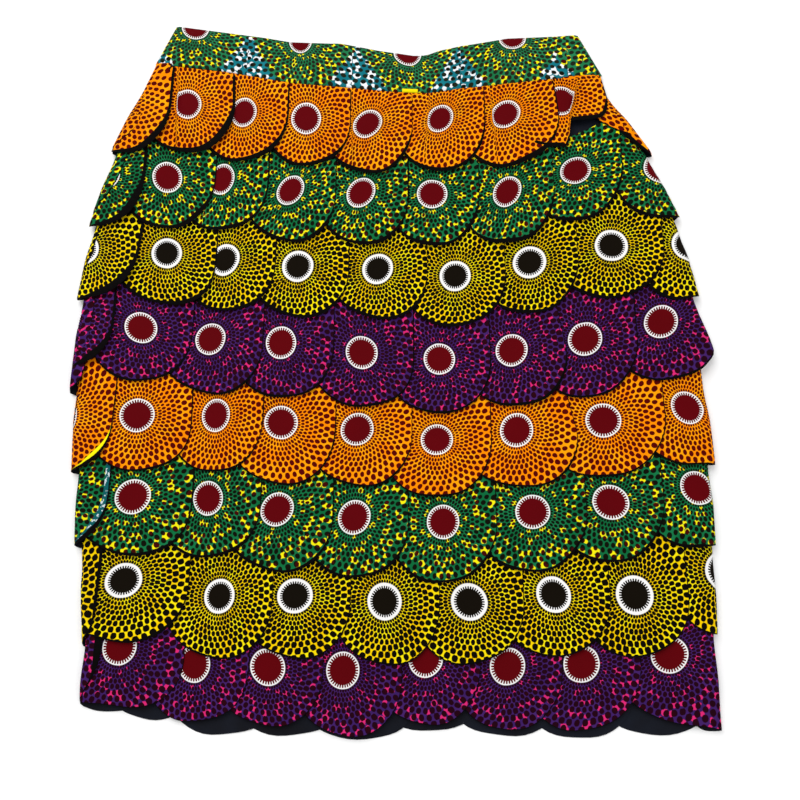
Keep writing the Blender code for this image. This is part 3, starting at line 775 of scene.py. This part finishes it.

# Edges that stand off the cloth: the petal, the place round its end in degrees from the lowest
# point towards the right, the spread, the height and the width of near-black edge band that it
# adds: the dark ply that shows, and painted shadow.
NOT_LIFTED = (0, 1, 0, 0)
LIFTED = {
    (0, 0): (50, 34, 3, 4), (0, 1): (48, 36, 3.2, 5), (0, 2): (50, 26, 1.4, 1.6),
    (0, 6): (18, 26, 1.4, 2), (0, 7): (8, 34, 2.6, 1.5), (0, 8): (-60, 44, 0.6, 3.4),
    (1, 0): (54, 34, 3, 5), (1, 1): (42, 30, 1.6, 1.6), (1, 6): (10, 26, 1.2, 1),
    (2, 0): (50, 34, 3.2, 5), (2, 1): (40, 30, 1.4, 1),
    (3, 0): (52, 32, 2.8, 4.5), (3, 6): (30, 26, 1.4, 1),
    (4, 0): (44, 30, 1.8, 1.2),
    (5, 0): (44, 30, 1.8, 2),
    (6, 0): (80, 24, 0.8, 2), (6, 1): (40, 30, 1.2, 1),
    (7, 0): (88, 22, 1, 7),
}
# Petals out of shape: sideways shift of the end per millimetre of drop, slope of the hem, half
# width, how much longer it hangs than its tier, how much higher it starts left and right, and how
# square the left and right corners of its end are, where 2 is round.
PLAIN_SHAPE = dict(shear=0, tilt=0, half=None, longer=0, top=(0, 0), corners=(2.2, 2.2))
SHAPES = {
    (0, 1): dict(shear=0.05, half=43, longer=1.5), (0, 2): dict(half=42, longer=1.5),
    (0, 4): dict(longer=1), (0, 5): dict(longer=6),
    (0, 6): dict(shear=0.1, tilt=0.1, half=47, longer=4), (0, 7): dict(corners=(2.2, 6), half=45),
    (0, 8): dict(half=42, corners=(1.25, 2.2), longer=4),
    (1, 0): dict(half=36), (1, 7): dict(tilt=0.14, top=(-15, 15)), (1, 8): dict(top=(12, 12)),
    (2, 0): dict(shear=-0.06), (2, 1): dict(half=44, corners=(2.2, 3)), (2, 6): dict(top=(0, 8)),
    (2, 7): dict(half=46, longer=3, top=(10, 12)), (2, 8): dict(longer=3, top=(10, 10)),
    (3, 0): dict(half=47, longer=-4), (3, 6): dict(shear=0.15, half=46), (3, 7): dict(longer=3),
    (3, 8): dict(corners=(2.2, 3), longer=4.5), (3, "back 0"): dict(corners=(6, 6), half=52),
    (4, 1): dict(shear=0.04), (4, 2): dict(half=40), (4, 3): dict(longer=5),
    (4, 6): dict(shear=0.2, half=50), (4, 7): dict(half=50),
    (4, 8): dict(corners=(2.2, 4), tilt=-0.14, longer=1.5),
    (5, 1): dict(half=48), (5, 3): dict(longer=2),
    (6, 0): dict(corners=(2.2, 3.2), longer=3), (6, 1): dict(half=52),
    (7, 0): dict(shear=-0.05, half=45), (7, 1): dict(corners=(5, 2.6), half=49, longer=-4),
    (7, 2): dict(longer=-6), (7, 3): dict(longer=-5), (7, 6): dict(longer=-2),
    (7, 7): dict(half=46), (7, 8): dict(corners=(2.2, 6), half=57, tilt=-0.18, longer=3.5),
    (7, "back 0"): dict(half=30, longer=-5),
}
# Edges cut into the next colour of the cloth: place round the end, spread and width
NOT_FRINGED = (0, 1, 0)
FRINGED = {(4, 0): (52, 26, 3.6), (5, 0): (74, 40, 5.0)}
FRINGE_INSET = 0.8

# Upright folds: how far from the petal's middle they run, at the top and at the foot, the print
# that they take in there, how wide and high they stand, the side that the print is drawn from, the
# rise of the hem past the fold and the drop of the hem under it.
FOLD_COLUMNS = (-4.5, -3.2, -2.2, -1.4, -0.7, 0, 0.7, 1.4, 2.2, 3.2, 4.5)
PLAIN_FOLD = {"way": -1, "hem_rise": 0, "hem_tip": 0}
FOLDS = {
    (0, 1): dict(at=(-9, -8.5), taken=(7, 5.5), width=1.8, height=2),
    (0, 4): dict(at=(-14, -12.5), taken=(2.5, 2), width=2, height=1),
    (0, 5): dict(at=(-9, -15), taken=(3.5, 1.5), width=2.4, height=1.3),
    (0, 6): dict(at=(-12, -15), taken=(3, 3), width=1.8, height=1.2),
    (0, 7): dict(way=1, at=(20.5, 7), taken=(1, 9), width=2.4, height=4, hem_rise=23,
                 hem_tip=4),
    (1, 2): dict(at=(-12, -14), taken=(3, 2), width=2.2, height=1),
}


def lowest(x, number):
    """Height of the line through the lowest points of a tier's petals."""
    tier = TIERS[number]
    return curved(x, tier) - tier["drop"]


def seam(x, number):
    """Height of a tier's upper edge: the waistband's foot, or under the tier above."""
    if number == 0:
        return curved(x, BAND_FOOT) - TIER_UNDER_BAND
    return lowest(x, number - 1) + OVERLAP


def corner_height(number, which):
    """Height of a tier's lower corner at the skirt's left or right side."""
    tier = TIERS[number]
    return lowest(tier[which], number) + tier.get(f"{which}_up", 0.0)


def side(y, number, which):
    """A tier's edge at y: a line to its lower corner, tucked inside the tier above it."""
    tier = TIERS[number]
    inward = tier.get(f"{which}_tuck", SIDE_TUCK) * (1.0 if which == "left" else -1.0)
    if number == 0:
        start, top = SIDE_TOP[which]
    else:
        start, top = TIERS[number - 1][which] + inward, corner_height(number - 1, which)
        if y > top:
            return side(y, number - 1, which) + inward
    share = max(0.0, min(1.0, (top - y) / (top - corner_height(number, which))))
    return between((start, tier[which]), share)


def tier_sides(number):
    """The tier's left and right limits at a height, as seen from the front or from behind."""
    heights = np.linspace(-340.0, 300.0, 161)
    lines = [[side(y, number, which) for y in heights] for which in ("left", "right")]

    def limits(y, facing):
        left, right = (np.interp(y, heights, line) for line in lines)
        return (left, right) if facing > 0 else (-right, -left)

    return limits


def panel_height(x, y, number, on_front):
    """Height off the side seam at which a tier's inner face lies on the front or the back."""
    begin = seam(x, number) - OVERLAP - OVERLAP_MARGIN
    last = number == len(TIERS) - 1
    end = FOUNDATION_HEM - OVERLAP_MARGIN if last else seam(x, number + 1) + LIFT_MARGIN
    if not on_front:
        return SIDE_SEAM - BACK_TIER_HIGH + BACK_LIFT * smooth(-y, -begin, -end)
    if last:
        return FRONT_TIER_LOW - SIDE_SEAM - HEM_DROP * smooth(-y, -end, -lowest(x, number))
    return FRONT_TIER_LOW - SIDE_SEAM + FRONT_LIFT * smooth(-y, -begin, -end)


def laid(number, sides, x, y, rise, facing):
    """Lays a tier's cloth on its panel, round the skirt's side and on to the other panel.

    facing is 1 for the front and -1 for the back, where x is measured as seen from behind.
    """
    left, right = sides(y, facing)
    past_left = left + SIDE_ROUND - x
    past_right = x - right + SIDE_ROUND
    way = np.where(past_right > past_left, 1.0, -1.0)
    past = np.maximum(past_left, past_right)
    quarters = np.clip(past / SIDE_ARC, 0.0, 2.0)
    round_x = np.where(way > 0, right, left) - way * SIDE_ROUND
    turned_x = facing * np.where(past > 0, round_x, x)
    on_front = panel_height(turned_x, y, number, True) + rise
    on_front = on_front + creased(turned_x, y) * smooth(-past, 0.0, 25.0)
    on_back = panel_height(turned_x, y, number, False) + rise * BACK_SCALE
    here, beyond = (on_front, on_back) if facing > 0 else (on_back, on_front)
    share = smooth(quarters, 0.0, 2.0)
    height = here * (1.0 - share) + beyond * share
    angle = quarters * math.pi / 2.0
    reach = SIDE_ROUND + height - SIDE_SPREAD
    spare = np.maximum(past - 2.0 * SIDE_ARC, 0.0)
    final_x = np.where(past > 0, round_x + way * (reach * np.sin(angle) - spare), x)
    z = SIDE_SEAM + facing * height * np.cos(np.where(past > 0, angle, 0.0))
    return np.stack([facing * final_x, y, np.maximum(z, 0.02)], -1)


def leaned(sides, x, y, level):
    """How far a back petal's points shift so that it leans along with the nearest side."""
    left, right = sides(y, -1.0)
    level_left, level_right = sides(np.full(y.shape, level), -1.0)
    share = np.clip((x - level_left) / (level_right - level_left), 0.0, 1.0)
    return (left - level_left) * (1.0 - share) + (right - level_right) * share


def petal_columns(fold, half, columns):
    """Where a petal's columns stand, in half widths: closer at its edges and along a fold."""
    across = np.sin(np.linspace(-1.0, 1.0, columns + 1) * math.pi / 2.0)
    if fold:
        middle = (fold["at"][0] + fold["at"][1]) / 2.0 / half
        clear = across[np.abs(across - middle) > FOLD_COLUMNS[-1] * 1.3 / half]
        across = np.sort(np.concatenate([clear, np.array(FOLD_COLUMNS) / half + middle]))
    return across[None, :]


def foot_line(fold, tilt, half, across):
    """How far the line that a petal's foot follows lies above its level, a little uneven."""
    uneven = draw.uniform(0.0, 6.28)
    line = tilt * half * across + 0.8 * np.sin(2.7 * across + uneven)
    line = line + 0.5 * np.sin(6.1 * across - uneven)
    if fold:
        past_fold = across * half - fold["at"][1]
        line = line + fold["hem_rise"] * smooth(past_fold, -1.0, 3.0)
        line = line - fold["hem_tip"] * np.exp(-((past_fold / 6.0) ** 2)) * (past_fold < 3.0)
    return line


def round_end(off, below, half, drop, power):
    """How far each point is from the petal's edge, and where round its end in degrees.

    off and below are the point's places across and below the level, as parts of half and drop.
    """
    out = (np.abs(off) ** power + below**power) ** (1.0 / power)
    slope = np.hypot((np.abs(off) / np.maximum(out, 1e-3)) ** (power - 1.0) / half,
                     (below / np.maximum(out, 1e-3)) ** (power - 1.0) / drop)
    room = np.where(below > 0, (1.0 - out) / np.maximum(slope, 1e-4), half * (1.0 - np.abs(off)))
    return np.maximum(room, 0.0), np.degrees(np.arctan2(off, below + 1e-6))


def petal(shells, number, index, sides, centre, level, tilt, drop, grid, facing, roundel):
    """One petal: a straight-sided piece with a round end, cut round its roundel.

    Its places are as seen from outside, and it returns the area of its cut.
    """
    key = (number, index)
    fold = dict(PLAIN_FOLD, **FOLDS[key]) if key in FOLDS else None
    shape = dict(PLAIN_SHAPE, **SHAPES.get(key, {}))
    tilt, drop = tilt + shape["tilt"], drop + shape["longer"]
    rows, columns = grid
    half = shape["half"] or TIERS[number]["half_width"]
    half = half * (1.0 + draw.uniform(-WIDTH_STRAYS, WIDTH_STRAYS))
    across = petal_columns(fold, half, columns)
    down = (1.0 - (1.0 - np.linspace(0.0, 1.0, rows + 1)) ** CROWDED_ROWS)[:, None]

    # Outline: the top edge, the round foot and the rows between them
    lowest_line = level + foot_line(fold, tilt, half, across)
    x = centre + half * across
    top = seam(facing * x, number) + np.interp(across, (-1.0, 1.0), shape["top"])
    power = np.where(across < 0.0, *shape["corners"])
    roundness = np.clip(1.0 - np.abs(across) ** power, 0.0, 1.0) ** (1.0 / power)
    foot = lowest_line - drop * roundness
    y = top + (foot - top) * down
    x = x + shape["shear"] * (level - y)
    off = across + 0.0 * down
    below = np.clip((lowest_line - y) / drop, 0.0, None)
    room, bearing = round_end(off, below, half, drop, power)
    left, right = sides(y, facing)
    from_side = np.minimum(x - left, right - x)

    # Relief: the loose edge, the painted near-black edge band of dark ply and painted shadow,
    # the ripples and the lap over a neighbour
    wave = draw.uniform(0.0, 6.28)
    turn = np.radians(bearing)
    free = smooth(bearing, -62.0, -25.0)
    lift = LOOSE_EDGE * free * (0.6 + 0.4 * np.sin(turn * 3.0 + wave))
    # dark is the width of the near-black band painted along the edge: the dark ply that shows,
    # widened under the petal and at lifted edges with painted shadow.
    beside, under = TIERS[number]["edge"]
    dark = beside + (under - beside) * smooth(-np.abs(bearing - 5.0), -84.0, -28.0)
    dark = dark + 0.15 * under * np.sin(turn * 5.0 + wave)
    at, spread, height, width = LIFTED.get(key, NOT_LIFTED)
    bump = np.exp(-(((bearing - at) / spread) ** 2))
    lift = lift + height * bump
    dark = dark + width * bump
    near_edge = np.exp(-((room / EDGE_REACH) ** 2))
    off_middle = x - centre
    ripple = np.sin(off_middle / draw.uniform(9.0, 14.0) + y / draw.uniform(22.0, 40.0) + wave)
    ripple = ripple + np.sin(y / draw.uniform(11.0, 17.0) - off_middle / draw.uniform(18.0, 34.0)
                             - wave)
    rise = SHINGLE * (off_middle + half) + CROWN * (1.0 - off * off)
    rise = rise + lift * near_edge * free * smooth(from_side, -2.0, 14.0)
    rise = rise + RIPPLE * ripple * (1.0 - 0.5 * near_edge)
    taken_in = 0.0
    if fold:
        along = np.clip((top - y) / (top - foot + 1e-6), 0.0, 1.0)
        from_line = across * half - between(fold["at"], along)
        past_line = smooth(fold["way"] * from_line, -0.6, 0.9)
        taken_in = between(fold["taken"], along) * past_line * fold["way"]
        ridge = np.exp(-((from_line / fold["width"]) ** 2))
        ends = np.sin(math.pi * np.clip(along * 0.9 + 0.05, 0.0, 1.0))
        rise = rise + ridge * fold["height"] * ends
    if number == 0:
        rise = rise * smooth(top - y, -1.0, 12.0) - 0.4 * (1.0 - smooth(top - y, 0.0, 8.0))
    thick = PETAL_CLOTH * (1.0 - 0.4 * np.exp(-room / 0.8))

    # Print: the roundel's place on the cloth, and how far the dark ply and the fringe reach in
    shift, wide, tall, lean = roundel or PLAIN_ROUNDEL
    place_x = (off_middle - shift + taken_in - lean * (y - level)) / (RING_RADIUS * wide)
    place_y = (y - level) / (RING_RADIUS * tall)
    if facing < 0:
        x = x + leaned(sides, x, y, level)
        from_side = np.minimum(x - left, right - x)
    edge_room = room - beside - (dark - beside) * smooth(from_side, 0.0, 14.0)
    at, spread, width = FRINGED.get(key, NOT_FRINGED)
    fringe = width * np.exp(-(((bearing - at) / spread) ** 2)) - FRINGE_INSET
    shells.add(laid(number, sides, x, y, rise + thick, facing),
               laid(number, sides, x, y, rise, facing), np.stack([place_x, place_y], -1),
               edge_room=edge_room, fringe_room=edge_room - fringe, print_seed=draw.randint(1, 99))
    return half * 2.0 * float(np.mean(top) - level) + math.pi * half * drop / 2.0


def petal_finish(colour):
    """The print of one tier's cloth, and a near-black band painted along its edge: the dark ply
    where it shows, and painted shadow under the petal.
    """
    made, w = new_material(f"petal_{colour}")
    uv = w.node("ShaderNodeUVMap", uv_map="print_place").outputs["UV"]
    print_colour = printed(w, uv, PRINTS[colour])
    seed_print(w, w.mark("print_seed"))
    colour_out = print_colour["Color"]
    if colour in FRINGES:
        plain, specks, level = FRINGES[colour]
        fringe = w.mix(w.ramp(w.noise(uv, 5.0, 2.0), level, level + 0.03), plain, specks)
        colour_out = w.mix(w.ramp(w.mark("fringe_room"), 0.15, -0.15), colour_out, fringe)
    # Ragged near-black band along the edge: the dark ply that shows, and painted shadow under the
    # petal.
    frayed = w.multiply_add(w.noise(uv, 6.0, 2.0), 0.6, w.mark("edge_room"))
    colour_out = w.mix(w.ramp(frayed, 0.42, 0.18), colour_out, PETAL_LINING_AND_SHADOW)
    printed_cotton(w, colour_out, print_colour["Ink"])
    return made


petal_finishes = {colour: petal_finish(colour) for colour in PRINTS}
draw = random.Random(11)


def row_of_petals(name, number, places, drop, grid, facing):
    """One tier's petals on one panel, as one piece with its own print."""
    tier = TIERS[number]
    shells = Shells()
    sides = tier_sides(number)
    area = 0.0
    for index, (place, raised, *roundel) in enumerate(places):
        slope = float(curved(place + 1.0, tier) - curved(place - 1.0, tier)) / 2.0 * HEM_FOLLOWS
        area += petal(shells, number, index if facing > 0 else f"back {index}", sides,
                      facing * place, float(curved(place, tier)) + raised, facing * slope, drop,
                      grid, facing, roundel)
    made = shells.make(name, petal_finishes[tier["colour"]])
    return made


for number, tier in enumerate(TIERS):
    front = row_of_petals(f"tier_{number + 1}_petals_front", number, tier["petals"], tier["drop"],
                          FRONT_GRID, 1.0)
    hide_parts(f"tier_{number + 1}_front")
    if number == len(TIERS) - 1:
        drop = BACK_HEM_DROP
        places = [(x, bottom + drop - float(curved(x, tier))) for x, bottom in BACK_HEM]
    else:
        drop = tier["drop"]
        pitch = (tier["right"] - tier["left"] - 2.0 * BACK_SHIFT) / BACK_PETALS
        first = tier["left"] + BACK_SHIFT
        places = [(first + pitch * (n + 0.5), *BACK_ODD.get((number, n), (0,)))
                  for n in range(BACK_PETALS)]
    back = row_of_petals(f"tier_{number + 1}_petals_back", number, places, drop, BACK_GRID, -1.0)
    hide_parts(f"tier_{number + 1}_back")
